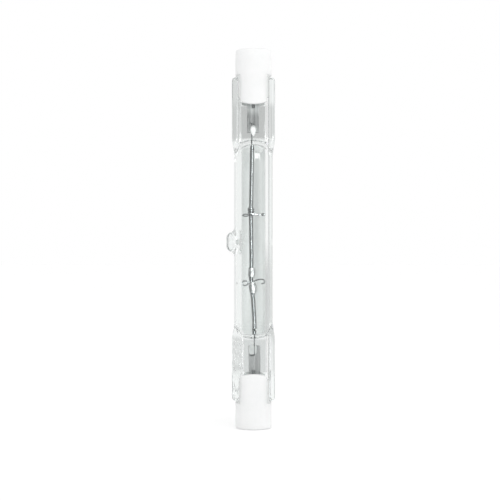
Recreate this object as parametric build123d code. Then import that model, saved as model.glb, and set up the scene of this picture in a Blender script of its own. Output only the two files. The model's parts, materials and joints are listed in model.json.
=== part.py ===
"""Double-ended tungsten halogen lamp with a recessed contact in each ceramic cap.

Millimetres. +Z runs up the lamp's axis from the lower end face. X lies across the broad
faces of the two press seals, and the exhaust tip points to -X.
"""

import os
from math import asin, cos, degrees, pi, radians, sin, tan

from build123d import *

# Whole lamp
OVERALL_LENGTH = 78.3  # over the end faces of both caps, 74.9 from contact to contact

# Quartz tube
TUBE_DIAMETER = 8.0
BORE_DIAMETER = 5.0
SHOULDER_INSET = 18.8  # from the lamp's end to the crown of the domed shoulder
DOME_RADIUS = 5.6
DOME_WALL = 0.8  # quartz between the crown of the shoulder and the bore
BORE_DOME_RADIUS = 4.0
SHOULDER_FILLET = 0.4

# Press seals, with thick rims and a thin web
PRESS_WIDTH = 9.0
PRESS_END_INSET = 5.8
PRESS_CORNER = 0.9  # corners of the ears beside the cap
PRESS_TAPER = 1.6  # height over which the rims run out into the tube
RIM_LAP = 1.4  # height of the rims past the shoulder
RIM_WIDTH = 1.7
RIM_THICKNESS = 4.4
RIM_ROUND = 1.1
RIM_FILLET = 0.45
RIM_SINK = 0.05  # depth to which the rims' core lies inside the web
WEB_THICKNESS = 2.4

# Exhaust tip
TIP_OFFSET = -0.6  # from the lamp's middle, along Z
TIP_DIAMETER = 3.2
TIP_FOOT_DIAMETER = 5.2  # at the depth of the bore's wall
TIP_PROUD = 1.6
TIP_BEVEL = 0.8
TIP_WALL = 0.8
EXHAUST_HOLE_DIAMETER = 1.8
EXHAUST_END_DIAMETER = 0.5

# Ceramic caps
CAP_DIAMETER = 7.5
CAP_LENGTH = 11.45
CAP_BEVEL = 0.3
RECESS_DIAMETER = 3.6
RECESS_DEPTH = 1.7  # from the end face to the contact
RECESS_BEVEL = 0.15
TONGUE_ARC_RADIUS = 8.0  # arched ends of the tongues beside the press
CEMENT_GAP = 0.2  # between rim and slot wall
CEMENT_BED = 0.4  # between the press end and the slot floor
CEMENT_BEAD = 0.25  # cement squeezed out past the tongues

# Contacts
CONTACT_DIAMETER = 2.9
CONTACT_THICKNESS = 0.8
CONTACT_BEVEL = 0.2
SHANK_DIAMETER = 1.6
SHANK_LENGTH = 2.2
SHANK_SOCKET_DEPTH = 1.4
CONTACT_PLAY = 0.05  # radial, round head and shank

# Leads and sealing foils
OUTER_LEAD_DIAMETER = 0.7
INNER_LEAD_DIAMETER = 0.32
LEAD_SIDES = 8  # flats round each lead
LEAD_PLAY = 0.02  # radial, round each wire
WELD_FLAT = 0.05  # depth to which a welded wire is flattened
WELD_LENGTH = 2.6  # overlap of the outer lead with the foil
FOIL_WIDTH = 2.35
FOIL_LENGTH = 7.7
FOIL_THICKNESS = 0.05
FOIL_END_INSET = 17.1  # from the lamp's end to the foil's inner end
FOOT_INSET = 15.3  # from the lamp's end to the bent foot of the inner lead
FOOT_LENGTH = 1.0
LOWER_LEAD_X = 0.2
UPPER_LEAD_X = -0.32
VOID_DIAMETER = 1.05  # teardrop bubble that the press leaves round the inner lead
VOID_END_INSET = 15.8
VOID_LENGTH = 3.0

# Filament
COIL_DIAMETER = 0.8
COIL_WIRE = 0.18
COIL_PITCH = 0.6
COIL_STEPS = 6  # straight steps in one turn
COIL_END_GAP = 0.35  # from the crown of the bore to the coil
LEAD_IN_COIL = 2.2  # length of the inner lead inside the coil
LOWER_COIL_BOW = -0.4  # where the supports hold the coil, along X
UPPER_COIL_BOW = -0.45

# Filament supports
SUPPORT_WIRE = 0.18
SUPPORT_TURNS = 2  # turns round the coil
SUPPORT_PITCH = 0.32
SUPPORT_STEPS = 12  # straight steps in one turn
SUPPORT_PLAY = 0.03  # radial, round the coil
LOOP_PLAY = 0.05  # radial, between loop and bore
LOWER_SUPPORT_OFFSET = -9.0  # from the lamp's middle to the loop, along Z
UPPER_SUPPORT_OFFSET = 4.8
LOWER_LOOP_TILT = 9.0  # degrees
UPPER_LOOP_TILT = 3.0

MIDDLE = OVERALL_LENGTH / 2
TUBE_RADIUS = TUBE_DIAMETER / 2
BORE_RADIUS = BORE_DIAMETER / 2
SLOT_WIDTH = RIM_THICKNESS + 2 * CEMENT_GAP
SLOT_FLOOR = PRESS_END_INSET - CEMENT_BED
BORE_END = SHOULDER_INSET + DOME_WALL
FOIL_FRONT = OUTER_LEAD_DIAMETER / 2 - WELD_FLAT
FOIL_Y = FOIL_FRONT + FOIL_THICKNESS / 2
INNER_LEAD_Y = FOIL_FRONT - INNER_LEAD_DIAMETER / 2 + WELD_FLAT
FOIL_OUTER_END = FOIL_END_INSET - FOIL_LENGTH
COIL_END = BORE_END + COIL_END_GAP


def turned(*outline):
    """Solid of revolution about Z from a closed outline in radius and height."""
    return revolve(Plane.XZ * make_face(outline), Axis.Z)


def to_upper_end(solid):
    """The same piece at the other end of the lamp."""
    return mirror(solid, about=Plane.XY.offset(MIDDLE))


def dome_rise(radius, dome):
    """Height of a round dome on a body of a radius."""
    return dome - (dome**2 - radius**2) ** 0.5


RUN_OUT = SHOULDER_INSET + dome_rise(TUBE_RADIUS, DOME_RADIUS)


def capsule(radius, end, dome):
    """Round body with domed ends, from height end to the same distance below the top."""
    wall = end + dome_rise(radius, dome)
    far_end = OVERALL_LENGTH - end
    far_wall = OVERALL_LENGTH - wall
    sweep_angle = degrees(asin(radius / dome))
    return turned(
        CenterArc((0, end + dome), dome, -90, sweep_angle),
        Line((radius, wall), (radius, far_wall)),
        CenterArc((0, far_end - dome), dome, 90 - sweep_angle, sweep_angle),
        Line((0, far_end), (0, end)),
    )


def bent_wire(points, diameter, sides):
    """Wire with mitred steps along a list of points."""
    path = Polyline(*points)
    start = Plane(points[0], z_dir=Vector(*points[1]) - Vector(*points[0]))
    section = start * RegularPolygon(diameter / 2, sides)
    return sweep(section, path=path, transition=Transition.RIGHT)


def rounded_face(*corners):
    """Flat face whose corners are given as place and rounding radius."""
    points = [(x, y) for x, y, _ in corners]
    return make_face(FilletPolyline(*points, radius=[r for _, _, r in corners], close=True))


def web():
    """Flat of the lower press, a little wider than the tube."""
    start = PRESS_END_INSET + PRESS_CORNER
    width = (TUBE_DIAMETER + PRESS_WIDTH) / 2
    return Pos(0, 0, start) * Box(
        width, WEB_THICKNESS, RUN_OUT - start, align=(Align.CENTER, Align.CENTER, Align.MIN)
    )


def rims():
    """Thick sides of the lower press on a core within the web, running out into the tube."""
    half = PRESS_WIDTH / 2
    neck = half - RIM_WIDTH
    core = WEB_THICKNESS / 2 - RIM_SINK
    top = RUN_OUT + RIM_LAP
    quarter = [
        (half, RIM_THICKNESS / 2, RIM_ROUND),
        (neck, RIM_THICKNESS / 2, RIM_FILLET),
        (neck, core, RIM_FILLET),
    ]
    back = quarter + [(-x, y, r) for x, y, r in reversed(quarter)]
    front = [(-x, -y, r) for x, y, r in back]
    bar = extrude(Pos(0, 0, PRESS_END_INSET) * rounded_face(*back, *front), top - PRESS_END_INSET)
    side = [
        (half, PRESS_END_INSET, PRESS_CORNER),
        (half, top - PRESS_TAPER, PRESS_TAPER / 2),
        (TUBE_RADIUS - RIM_WIDTH / 2, top, 0),
    ]
    silhouette = rounded_face(*side, *[(-x, z, r) for x, z, r in reversed(side)])
    return bar & extrude(Plane.XZ * silhouette, RIM_THICKNESS, both=True)


def exhaust_tip():
    """Stub left on the tube where the exhaust pipe was melted off, standing on +Z."""
    radius = TIP_DIAMETER / 2
    end = TUBE_RADIUS + TIP_PROUD
    outline = Polyline(
        (0, BORE_RADIUS),
        (TIP_FOOT_DIAMETER / 2, BORE_RADIUS),
        (radius, end - TIP_BEVEL),
        (radius - TIP_BEVEL, end),
        (0, end),
        close=True,
    )
    return turned(outline)


def exhaust_hole():
    """Tapering blind hole from the bore into the tip, standing on +Z."""
    end = TUBE_RADIUS + TIP_PROUD - TIP_WALL
    return Cone(
        EXHAUST_HOLE_DIAMETER / 2,
        EXHAUST_END_DIAMETER / 2,
        end,
        align=(Align.CENTER, Align.CENTER, Align.MIN),
    )


def inner_lead(lead_x, play):
    """Lower inner lead: straight from the coil to the foil, with its foot bent along the foil."""
    points = [
        (lead_x, INNER_LEAD_Y, COIL_END + LEAD_IN_COIL),
        (lead_x, INNER_LEAD_Y, FOOT_INSET),
        (lead_x - FOOT_LENGTH, INNER_LEAD_Y, FOOT_INSET),
    ]
    return bent_wire(points, INNER_LEAD_DIAMETER + 2 * play, LEAD_SIDES)


def foil(lead_x):
    """Lower sealing foil."""
    height = (FOIL_END_INSET + FOIL_OUTER_END) / 2
    return Pos(lead_x, FOIL_Y, height) * Box(FOIL_WIDTH, FOIL_THICKNESS, FOIL_LENGTH)


def lead_void(lead_x):
    """Teardrop bubble round the inner lead, pointing to the bulb."""
    widest = VOID_DIAMETER / 2
    inside_lead = INNER_LEAD_DIAMETER / 4
    rings = [
        (VOID_END_INSET, inside_lead),
        (VOID_END_INSET + widest, widest),
        (VOID_END_INSET + VOID_LENGTH, inside_lead),
    ]
    sections = [Pos(lead_x, INNER_LEAD_Y, z) * RegularPolygon(r, LEAD_SIDES) for z, r in rings]
    return loft(sections, ruled=True)


def outer_lead(play):
    """Lower outer lead: from the socket in the contact to the foil."""
    start = RECESS_DEPTH + CONTACT_THICKNESS + SHANK_LENGTH - SHANK_SOCKET_DEPTH
    end = FOIL_OUTER_END + WELD_LENGTH
    return bent_wire([(0, 0, start), (0, 0, end)], OUTER_LEAD_DIAMETER + 2 * play, LEAD_SIDES)


def behind_foil():
    """Space behind the front face of the foil, where welded wires are flattened."""
    return Pos(0, FOIL_FRONT, FOIL_OUTER_END) * Box(
        PRESS_WIDTH, RIM_THICKNESS, FOIL_LENGTH, align=(Align.CENTER, Align.MIN, Align.MIN)
    )


def seal_cavity(lead_x):
    """Everything the lower press closes round."""
    cavity = inner_lead(lead_x, LEAD_PLAY) + lead_void(lead_x) + foil(lead_x)
    return cavity + (outer_lead(LEAD_PLAY) - behind_foil())


def contact():
    """Lower contact: a flat head flush with the recess floor, on a shank with a socket for the lead."""
    radius = CONTACT_DIAMETER / 2
    shank = SHANK_DIAMETER / 2
    head_top = RECESS_DEPTH + CONTACT_THICKNESS
    end = head_top + SHANK_LENGTH
    outline = Polyline(
        (0, RECESS_DEPTH),
        (radius - CONTACT_BEVEL, RECESS_DEPTH),
        (radius, RECESS_DEPTH + CONTACT_BEVEL),
        (radius, head_top),
        (shank, head_top),
        (shank, end),
        (0, end),
        close=True,
    )
    return turned(outline) - outer_lead(LEAD_PLAY)


def slot():
    """Slot in the lower cap that takes the end of the press, open at the sides."""
    return Pos(0, 0, SLOT_FLOOR) * Box(
        2 * PRESS_WIDTH, SLOT_WIDTH, 2 * CAP_LENGTH, align=(Align.CENTER, Align.CENTER, Align.MIN)
    )


def arched_end(height):
    """Space below the arched end of the tongues, whose crown is at a height."""
    return Pos(0, 0, height - TONGUE_ARC_RADIUS) * Rot(90, 0, 0) * Cylinder(TONGUE_ARC_RADIUS, 2 * CAP_DIAMETER)


def ceramic_cap():
    """Lower cap: a barrel with a contact recess, and two tongues beside the press."""
    radius = CAP_DIAMETER / 2
    recess = RECESS_DIAMETER / 2
    head_hole = CONTACT_DIAMETER / 2 + CONTACT_PLAY
    shank_hole = SHANK_DIAMETER / 2 + CONTACT_PLAY
    seat = RECESS_DEPTH + CONTACT_THICKNESS
    outline = Polyline(
        (recess + RECESS_BEVEL, 0),
        (radius - CAP_BEVEL, 0),
        (radius, CAP_BEVEL),
        (radius, 2 * CAP_LENGTH),
        (shank_hole, 2 * CAP_LENGTH),
        (shank_hole, seat),
        (head_hole, seat),
        (head_hole, RECESS_DEPTH),
        (recess, RECESS_DEPTH),
        (recess, RECESS_BEVEL),
        close=True,
    )
    return (turned(outline) - slot()) & arched_end(CAP_LENGTH)


def cement(pressed_body):
    """Lower cement: fills the slot round the press and stands a little past the tongues."""
    core = Cylinder(CAP_DIAMETER / 2, 2 * CAP_LENGTH, align=(Align.CENTER, Align.CENTER, Align.MIN))
    fill = slot() & core & arched_end(CAP_LENGTH + CEMENT_BEAD)
    return fill - pressed_body - outer_lead(0)


def coil_axis(height):
    """Place of the coil's middle along X at a height, bowed between its ends and supports."""
    knots = [
        (COIL_END, LOWER_LEAD_X),
        (COIL_END + LEAD_IN_COIL, LOWER_LEAD_X),
        (MIDDLE + LOWER_SUPPORT_OFFSET, LOWER_COIL_BOW),
        (MIDDLE + UPPER_SUPPORT_OFFSET, UPPER_COIL_BOW),
        (OVERALL_LENGTH - COIL_END - LEAD_IN_COIL, UPPER_LEAD_X),
        (OVERALL_LENGTH - COIL_END, UPPER_LEAD_X),
    ]
    for (low, x_low), (high, x_high) in zip(knots, knots[1:]):
        if height <= high:
            return x_low + (x_high - x_low) * (height - low) / (high - low)
    return UPPER_LEAD_X


def filament():
    """Tungsten coil from one inner lead to the other."""
    radius = (COIL_DIAMETER - COIL_WIRE) / 2
    length = OVERALL_LENGTH - 2 * COIL_END
    steps = round(length / COIL_PITCH) * COIL_STEPS
    points = []
    for step in range(steps + 1):
        turn = 2 * pi * step / COIL_STEPS
        height = COIL_END + length * step / steps
        points.append((coil_axis(height) + radius * cos(turn), INNER_LEAD_Y + radius * sin(turn), height))
    return bent_wire(points, COIL_WIRE, 4)


def filament_support(offset, tilt):
    """Thin wire wound on the coil, led outwards and bent into a loop that rests in the bore."""
    level = MIDDLE + offset
    coil_x = coil_axis(level)
    wound = (COIL_DIAMETER + SUPPORT_WIRE) / 2 + SUPPORT_PLAY
    loop = BORE_RADIUS - LOOP_PLAY - SUPPORT_WIRE / 2
    points = []
    for step in range(SUPPORT_TURNS * SUPPORT_STEPS + 1):
        turn = 2 * pi * step / SUPPORT_STEPS
        height = level + SUPPORT_PITCH * (SUPPORT_TURNS - step / SUPPORT_STEPS) + 2 * SUPPORT_WIRE
        points.append((coil_x + wound * cos(turn), INNER_LEAD_Y + wound * sin(turn), height))
    lean = tan(radians(tilt))
    for step in range(SUPPORT_STEPS // 4, SUPPORT_STEPS + SUPPORT_STEPS // 8):
        turn = 2 * pi * step / SUPPORT_STEPS
        points.append((loop * cos(turn), loop * sin(turn), level + lean * loop * sin(turn)))
    return bent_wire(points, SUPPORT_WIRE, 4)


bulb = capsule(TUBE_RADIUS, SHOULDER_INSET, DOME_RADIUS)
webs = web() + to_upper_end(web())
blank = bulb + webs
blank = fillet(new_edges(bulb, webs, combined=blank), SHOULDER_FILLET)
blank += rims() + to_upper_end(rims())
at_tip = Pos(0, 0, MIDDLE + TIP_OFFSET) * Rot(0, -90, 0)
body = blank + at_tip * exhaust_tip()
bore = capsule(BORE_RADIUS, BORE_END, BORE_DOME_RADIUS)
seals = seal_cavity(LOWER_LEAD_X) + to_upper_end(seal_cavity(UPPER_LEAD_X))
quartz = body - bore - at_tip * exhaust_hole() - seals

lower_cap = ceramic_cap()
lower_cement = cement(body)
lower_contact = contact()
lower_outer_lead = outer_lead(0) - behind_foil()

solids = {
    "quartz_envelope": quartz,
    "lower_ceramic_cap": lower_cap,
    "upper_ceramic_cap": to_upper_end(lower_cap),
    "lower_cement": lower_cement,
    "upper_cement": to_upper_end(lower_cement),
    "lower_contact": lower_contact,
    "upper_contact": to_upper_end(lower_contact),
    "lower_outer_lead": lower_outer_lead,
    "upper_outer_lead": to_upper_end(lower_outer_lead),
    "lower_foil": foil(LOWER_LEAD_X),
    "upper_foil": to_upper_end(foil(UPPER_LEAD_X)),
    "lower_inner_lead": inner_lead(LOWER_LEAD_X, 0) - behind_foil(),
    "upper_inner_lead": to_upper_end(inner_lead(UPPER_LEAD_X, 0) - behind_foil()),
    "filament": filament(),
    "lower_filament_support": filament_support(LOWER_SUPPORT_OFFSET, LOWER_LOOP_TILT),
    "upper_filament_support": filament_support(UPPER_SUPPORT_OFFSET, UPPER_LOOP_TILT),
}

os.makedirs("parts", exist_ok=True)
for name, solid in solids.items():
    export_step(solid, f"parts/{name}.step")
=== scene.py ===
# %% [markdown]
# # A double-ended halogen bulb
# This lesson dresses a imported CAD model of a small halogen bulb: a quartz tube with a flat press seal at
# each end, a white ceramic cap on each press, and a tungsten coil inside. The CAD model fixes where every
# piece lies. Blender adds what the eye needs: round wires, soft glass edges and real materials. The frame
# is in metres with +Z up the bulb, and the camera looks along +Y at the broad faces of the presses.

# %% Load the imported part
import json
import math

import bpy
import numpy as np
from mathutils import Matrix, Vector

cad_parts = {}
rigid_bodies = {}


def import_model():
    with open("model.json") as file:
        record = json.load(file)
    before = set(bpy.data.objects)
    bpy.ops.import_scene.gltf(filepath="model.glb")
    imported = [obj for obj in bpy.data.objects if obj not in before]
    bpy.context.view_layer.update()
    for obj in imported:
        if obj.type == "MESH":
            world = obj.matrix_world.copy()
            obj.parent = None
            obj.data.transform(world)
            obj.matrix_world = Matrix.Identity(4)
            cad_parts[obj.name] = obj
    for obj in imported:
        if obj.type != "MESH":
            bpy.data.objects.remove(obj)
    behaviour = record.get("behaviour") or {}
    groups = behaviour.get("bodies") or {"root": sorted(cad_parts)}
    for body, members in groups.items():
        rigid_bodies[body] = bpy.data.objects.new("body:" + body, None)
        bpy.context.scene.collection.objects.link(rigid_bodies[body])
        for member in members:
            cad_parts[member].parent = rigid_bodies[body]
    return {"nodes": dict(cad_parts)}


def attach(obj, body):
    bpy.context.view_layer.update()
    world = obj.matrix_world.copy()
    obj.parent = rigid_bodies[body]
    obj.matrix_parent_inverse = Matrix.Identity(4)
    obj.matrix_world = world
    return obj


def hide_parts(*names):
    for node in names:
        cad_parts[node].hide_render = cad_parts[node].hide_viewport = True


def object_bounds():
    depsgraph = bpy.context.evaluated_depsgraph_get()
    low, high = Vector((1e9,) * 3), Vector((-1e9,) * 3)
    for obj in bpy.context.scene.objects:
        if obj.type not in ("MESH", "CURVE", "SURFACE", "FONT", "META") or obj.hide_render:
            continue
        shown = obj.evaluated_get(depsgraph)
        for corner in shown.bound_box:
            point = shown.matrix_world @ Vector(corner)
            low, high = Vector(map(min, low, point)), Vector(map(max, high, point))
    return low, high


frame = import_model()
cad_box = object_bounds()
MM = 0.001
print("nodes:", len(frame["nodes"]), "box in mm:", [[round(c / MM, 2) for c in p] for p in cad_box])

# %% [markdown]
# ## Sizes that the rest hangs on
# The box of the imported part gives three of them: the length over both caps, half the width of a press, and
# how far the exhaust tip stands out from the axis. All other sizes are in millimetres too, in the cell that
# first needs them. They repeat the CAD source, unless the text calls a shape finer, softer or less even.

# %% Sizes from the frame
LENGTH = round(cad_box[1][2] / MM, 3)
PRESS_HALF = round(cad_box[1][0] / MM, 3)
TIP_END = round(-cad_box[0][0] / MM, 3)
MIDDLE = LENGTH / 2
print("length", LENGTH, "mm, press", 2 * PRESS_HALF, "mm wide, tip out to", TIP_END, "mm")

# %% [markdown]
# ## Soft joins
# Hot glass and pressed ceramic have no sharp edges: every corner melts into the next. Bevels on joined
# blocks would be the usual way, but they are hard to keep whole where a rim runs out into a round tube. A
# distance function does it well. It says how far a point lies outside the material, and a negative value is
# inside. Two of them join softly when the step from one to the other is rounded.

# %% Soft joins
def soft_max(a, b, blend):
    """Keeps what both shapes share, with an edge rounded over about the blend length."""
    share = np.clip(0.5 + 0.5 * (a - b) / blend, 0, 1)
    return b + (a - b) * share + blend * share * (1 - share)


def soft_union(a, b, blend):
    """Joins two shapes, with a hollow fillet of about the blend length."""
    return -soft_max(-a, -b, blend)


def rounded_box(across, along, radius):
    """Distance to a box with rounded corners, from the distances to two of its sides."""
    u = across + radius
    v = along + radius
    return np.hypot(np.maximum(u, 0), np.maximum(v, 0)) + np.minimum(np.maximum(u, v), 0) - radius


print("a blend of 1 mm takes", float(soft_max(0.0, 0.0, 1.0)), "mm off an edge")

# %% [markdown]
# ## A skin over a distance function
# A voxel remesh of joined blocks would show its steps through clear glass, so the skin is made here. A grid
# is laid over the shape. Each cell that the surface crosses gets one point, in the middle of the places
# where the surface cuts the cell's edges.

# %% Points of a skin
CORNERS = [np.array([i, j, k]) for i in (0, 1) for j in (0, 1) for k in (0, 1)]
EDGES = [(a, b) for a in range(8) for b in range(a) if np.abs(CORNERS[a] - CORNERS[b]).sum() == 1]


def crossed_cells(inside):
    """Grid places of the cells that have corners on both sides of the surface."""
    cells = np.array(inside.shape) - 1
    windows = [tuple(slice(o, o + n) for o, n in zip(corner, cells)) for corner in CORNERS]
    filled = sum(inside[window].astype(int) for window in windows)
    return np.argwhere((filled > 0) & (filled < len(CORNERS)))


def cell_points(values, active):
    """Mean place of the cuts on the edges of each crossed cell, counted in cells."""
    cuts = np.zeros((len(active), 3))
    count = np.zeros(len(active))
    for a, b in EDGES:
        value_a = values[tuple((active + CORNERS[a]).T)]
        value_b = values[tuple((active + CORNERS[b]).T)]
        crossed = (value_a < 0) != (value_b < 0)
        share = np.where(crossed, value_a / np.where(crossed, value_a - value_b, 1), 0)[:, None]
        cuts += np.where(crossed[:, None], CORNERS[a] + (CORNERS[b] - CORNERS[a]) * share, 0)
        count += crossed
    return active + cuts / count[:, None]


print("a grid cell has", len(CORNERS), "corners and", len(EDGES), "edges")

# %% [markdown]
# Where the surface crosses a grid edge, the four cells round that edge all have a point. One quad joins the
# four, and it is turned so that its front looks away from the material.

# %% Quads of a skin
def cell_quads(inside, active):
    """Quads that join the four cells round each crossed grid edge, with their fronts to the outside."""
    number = np.full(np.array(inside.shape) - 1, -1)
    number[tuple(active.T)] = np.arange(len(active))
    unit = np.eye(3, dtype=int)
    quads = []
    for axis in range(3):
        u = unit[(axis + 1) % 3]
        v = unit[(axis + 2) % 3]
        first = np.take(inside, range(inside.shape[axis] - 1), axis)
        second = np.take(inside, range(1, inside.shape[axis]), axis)
        for crossed, turn in ((first & ~second, 1), (second & ~first, -1)):
            edge = np.argwhere(crossed)
            ring = [number[tuple((edge - side).T)] for side in (u + v, v, 0 * u, u)]
            quads.append(np.stack(ring, 1)[:, ::turn])
    return np.concatenate(quads).tolist()


lone_point = np.zeros((3, 3, 3), bool)
lone_point[1, 1, 1] = True
print("a lone grid point inside gets", len(cell_quads(lone_point, crossed_cells(lone_point))), "quads")

# %% [markdown]
# At last every point is pulled onto the surface. The pull follows the slope of the distance function, which
# is measured a small reach to both sides of a point. Three pulls are enough, because the points already lie
# close. A ball is a fair trial: every point of its skin has to lie one radius from the middle.

# %% The skin itself
PULLS = 3
SMALLEST_SLOPE = 1e-6


def pulled_onto(distance, points, reach):
    """The points moved onto the surface along the slope of the distance function."""
    for _ in range(PULLS):
        slope = np.stack([
            (distance(*(points + reach * e).T) - distance(*(points - reach * e).T)) / (2 * reach)
            for e in np.eye(3)
        ], 1)
        steepness = np.maximum((slope**2).sum(1), SMALLEST_SLOPE)
        points = points - (distance(*points.T) / steepness)[:, None] * slope
    return points


def skin(distance, low, high, step):
    """Points and quads of the surface where a distance function is zero, within a box."""
    axes = [np.arange(a - 2 * step, b + 2.5 * step, step) for a, b in zip(low, high)]
    values = distance(*np.meshgrid(*axes, indexing="ij"))
    inside = values < 0
    active = crossed_cells(inside)
    start = np.array([axis[0] for axis in axes])
    points = start + step * cell_points(values, active)
    return pulled_onto(distance, points, step / 8), cell_quads(inside, active)


def trial_ball(x, y, z):
    """A ball of one millimetre radius."""
    return np.sqrt(x**2 + y**2 + z**2) - 1


ball_points, ball_quads = skin(trial_ball, (-1, -1, -1), (1, 1, 1), 0.25)
ball_error = np.abs(trial_ball(*ball_points.T)).max()
print("trial ball:", len(ball_quads), "quads, off by", round(float(ball_error), 6), "mm at most")

# %% [markdown]
# ## Turning points into pieces
# Every piece is one smooth-shaded mesh. It rides on the bulb's only body and stands for its CAD node, which
# it hides. A list of shells lets the quartz hold its outside, its bore and its bubbles in one piece, each
# with its own finish.

# %% Making a piece
def piece(name, shells, materials, node):
    """One mesh object from shells of points and faces in millimetres, one material per shell."""
    points = np.concatenate([p for p, _ in shells]) * MM
    starts = np.cumsum([0] + [len(p) for p, _ in shells]).tolist()
    faces = [[i + start for i in face] for start, (_, part) in zip(starts, shells) for face in part]
    finishes = np.repeat(range(len(shells)), [len(part) for _, part in shells])
    mesh = bpy.data.meshes.new(name)
    mesh.from_pydata(points.tolist(), [], faces)
    mesh.polygons.foreach_set("material_index", finishes)
    for material in materials:
        mesh.materials.append(material)
    mesh.shade_smooth()
    made = bpy.data.objects.new(name, mesh)
    bpy.context.scene.collection.objects.link(made)
    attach(made, "root")
    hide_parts(node)
    print(name, len(points), "points,", len(faces), "faces")
    return made


print("ready to make pieces")

# %% [markdown]
# ## Colours
# Colours are written as sRGB hex values, the way a paint program shows them. Shaders count in linear light,
# so one function turns the one into the other, by the curve that the sRGB standard gives.

# %% Colours
def linear(hex_colour):
    """Linear RGBA of an sRGB hex colour."""
    channels = [int(hex_colour[i:i + 2], 16) / 255 for i in (1, 3, 5)]
    return [c / 12.92 if c <= 0.04045 else ((c + 0.055) / 1.055) ** 2.4 for c in channels] + [1.0]


print("mid grey #808080 is", round(linear("#808080")[0], 3), "in linear light")

# %% [markdown]
# ## Nodes
# A finish is a small tree of nodes. One function adds a node with its settings and its colour stops, and
# gives it its inputs: a plain value is set, and another node's socket is linked.

# %% Nodes
def set_inputs(tree, node, inputs):
    """Sets a node's inputs to values, or links them where another node's socket is given."""
    for name, value in inputs.items():
        if isinstance(value, bpy.types.NodeSocket):
            tree.links.new(value, node.inputs[name])
        else:
            node.inputs[name].default_value = value


def add(tree, kind, inputs=None, stops=(), **settings):
    """A new node with its settings, its inputs and, on a colour ramp, its stops (place, hex colour)."""
    node = tree.nodes.new(kind)
    for name, value in settings.items():
        setattr(node, name, value)
    elements = node.color_ramp.elements if stops else ()
    while len(elements) < len(stops):
        elements.new(1.0)
    for element, (position, colour) in zip(elements, stops):
        element.position = position
        element.color = linear(colour)
    set_inputs(tree, node, inputs or {})
    return node


print("ready to add nodes")

# %% [markdown]
# ## Materials
# Every material starts with a surface shader, its output and object coordinates. Those are the metres of the
# frame, so the scale of a pattern comes straight from its real size.

# %% A new material
def new_material(name):
    """An empty node material: itself, its tree, its surface shader and its object coordinates."""
    material = bpy.data.materials.new(name)
    material.use_nodes = True
    tree = material.node_tree
    tree.nodes.clear()
    shader = add(tree, "ShaderNodeBsdfPrincipled")
    add(tree, "ShaderNodeOutputMaterial", {"Surface": shader.outputs["BSDF"]})
    return material, tree, shader, add(tree, "ShaderNodeTexCoord").outputs["Object"]


def cycles_for(size_mm):
    """Texture scale for a feature of a size in millimetres."""
    return 1 / (size_mm * MM)


print("a pattern of half a millimetre has a scale of", round(cycles_for(0.5)))

# %% [markdown]
# ## Fused quartz
# The envelope is clear fused quartz: a drawn tube, closed at each end between hot jaws. Parts of it are
# tinted grey, much of that grey is painted shade, and one line is a painted highlight. In clear glass a grey
# is a tint: the base colour dims the light at each wall that a ray passes. A picture laid over the glass
# would be wrong from every other side, so the tint is worked out from the place on the bulb: up its length,
# across it, and front or back.

# %% Places on the quartz
# drawn and pressed fused quartz: clear, with long faint streaks, greyer presses, painted shade and a painted
# highlight line
quartz, tree, shader, place = new_material("fused_quartz_drawn_and_pressed")
RAMP_HALF = 5.0
SIDE_FADE = 1.0
BACK_FADE = 0.2
quartz_place = add(tree, "ShaderNodeSeparateXYZ", {"Vector": place})
sideways = quartz_place.outputs["X"]
up_bulb = add(tree, "ShaderNodeMapRange", {"Value": quartz_place.outputs["Z"], "From Max": LENGTH * MM})
across_bulb = add(tree, "ShaderNodeMapRange", {
    "Value": sideways, "From Min": -RAMP_HALF * MM, "From Max": RAMP_HALF * MM})
on_right = add(tree, "ShaderNodeMapRange", {
    "Value": sideways, "From Min": -SIDE_FADE * MM, "From Max": SIDE_FADE * MM})
at_back = add(tree, "ShaderNodeMapRange", {
    "Value": quartz_place.outputs["Y"], "From Min": -BACK_FADE * MM, "From Max": BACK_FADE * MM})
print("quartz is painted by its place up, across and through the bulb")

# %% [markdown]
# The web is the flat of a press, where the jaws met. The upper one is tinted greyer than the lower one. A
# colour ramp up the bulb holds both greys as a few stops, each at its height in millimetres.

# %% Grey of the webs
CLEAR = "#EFF2F1"
LOWER_WEB = "#B4B8B7"
UPPER_WEB = "#929493"
WEB_GREYS = [
    (11.28, CLEAR), (11.59, LOWER_WEB), (18.17, LOWER_WEB), (18.71, CLEAR),
    (59.59, CLEAR), (60.13, UPPER_WEB), (66.71, UPPER_WEB), (67.02, CLEAR),
]


def stops_between(low, high, stops):
    """Stops of a ramp that runs from low to high, from places in millimetres and hex colours."""
    return [((where - low) / (high - low), colour) for where, colour in stops]


web_grey = add(tree, "ShaderNodeValToRGB", {"Fac": up_bulb.outputs["Result"]},
               stops_between(0, LENGTH, WEB_GREYS))
print("webs are grey from", WEB_GREYS[0][0], "and up to", WEB_GREYS[-1][0], "mm")
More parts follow.
